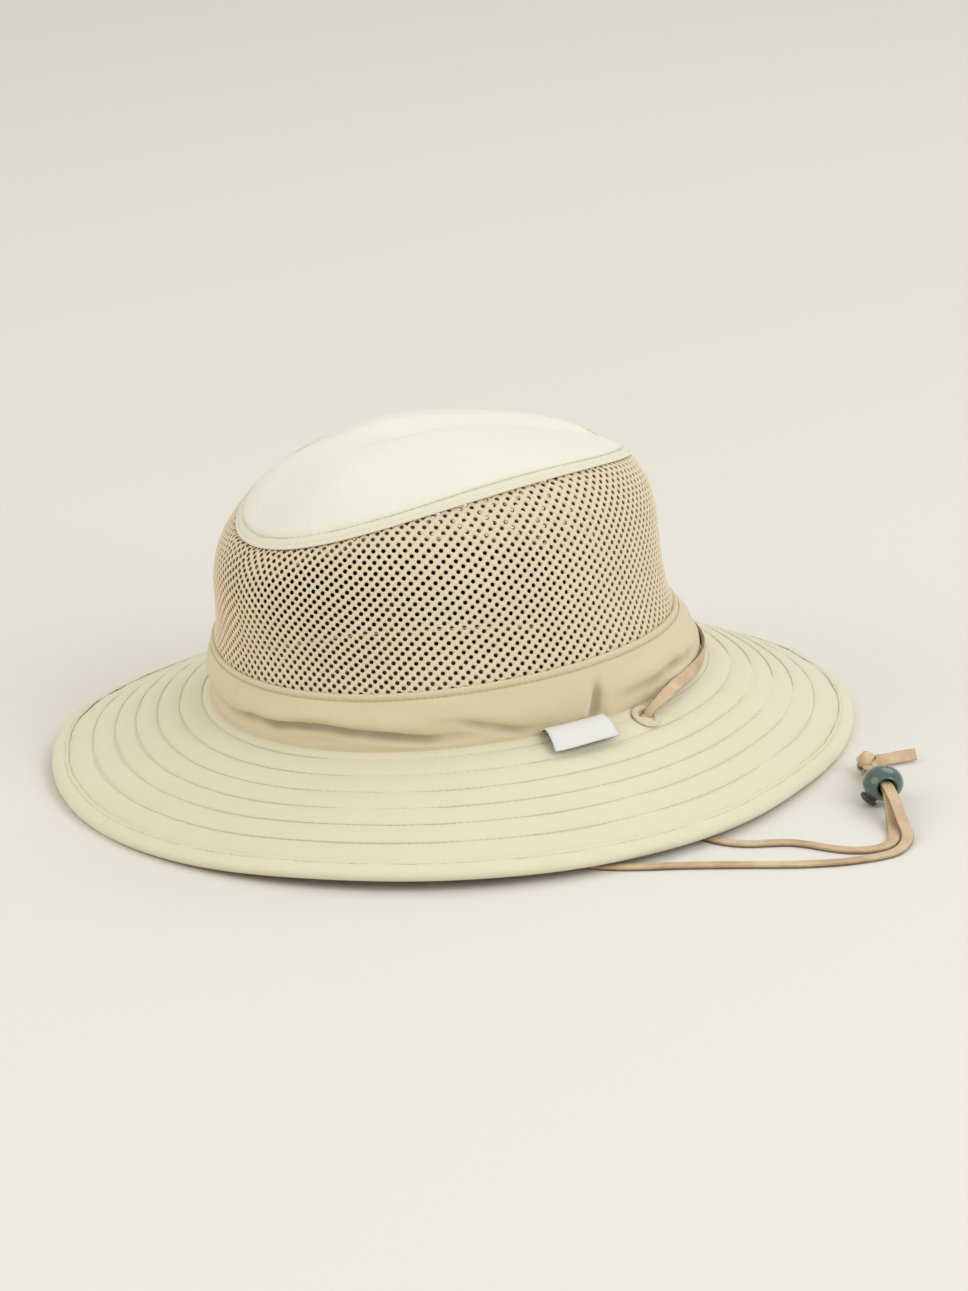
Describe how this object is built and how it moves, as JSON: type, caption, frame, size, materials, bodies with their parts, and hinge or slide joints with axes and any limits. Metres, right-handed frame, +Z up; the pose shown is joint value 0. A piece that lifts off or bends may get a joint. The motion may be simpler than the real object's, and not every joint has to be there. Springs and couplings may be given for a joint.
{
  "type": "fedora sun hat with mesh crown",
  "caption": "Soft wide-brimmed cloth hat with a creased top, an open mesh crown wall, a stitched brim and a leather chin lace with a ball toggle.",
  "frame": {"origin": "on the surface that the hat rests on, under the middle of the brim's box", "axes": "+Z up, the front of the hat faces -Y, the wearer's left is +X"},
  "size_m": [0.3391, 0.3434, 0.1418],
  "materials": {
    "khaki_cloth": "matt woven cloth",
    "olive_cloth": "matt woven cloth",
    "binding_cloth": "matt woven tape",
    "band_cloth": "matt woven cloth",
    "crown_mesh": "open knitted mesh",
    "ivory_cloth": "matt woven cloth",
    "black_cloth": "matt woven cloth",
    "white_tape": "smooth woven tape, blank",
    "eyelet_enamel": "satin enamel",
    "lace_leather": "undyed leather thong",
    "toggle_plastic": "glossy moulded plastic",
    "plunger_plastic": "glossy moulded plastic"
  },
  "bodies": {
    "hat": {"brim_upper": "khaki_cloth", "brim_under": "olive_cloth", "brim_binding": "binding_cloth", "crown_band": "band_cloth", "mesh_wall": "crown_mesh", "crown_top": "ivory_cloth", "top_lining": "black_cloth", "sweatband": "black_cloth", "care_tag": "white_tape", "brim_label": "white_tape", "eyelet_left": "eyelet_enamel", "eyelet_right": "eyelet_enamel", "lace_left": "lace_leather", "lace_right": "lace_leather", "lace_back": "lace_leather", "lace_tail": "lace_leather", "lace_knot": "lace_leather", "toggle_body": "toggle_plastic"},
    "plunger": {"toggle_plunger": "plunger_plastic"}
  },
  "joints": [
    {"name": "plunger_press", "type": "slide", "parent": "hat", "child": "plunger", "axis": [0.2717, 0.5826, 0.766], "range_m": [0, 0.0016], "stiffness_N_per_m": 300, "springref_m": -0.002}
  ]
}
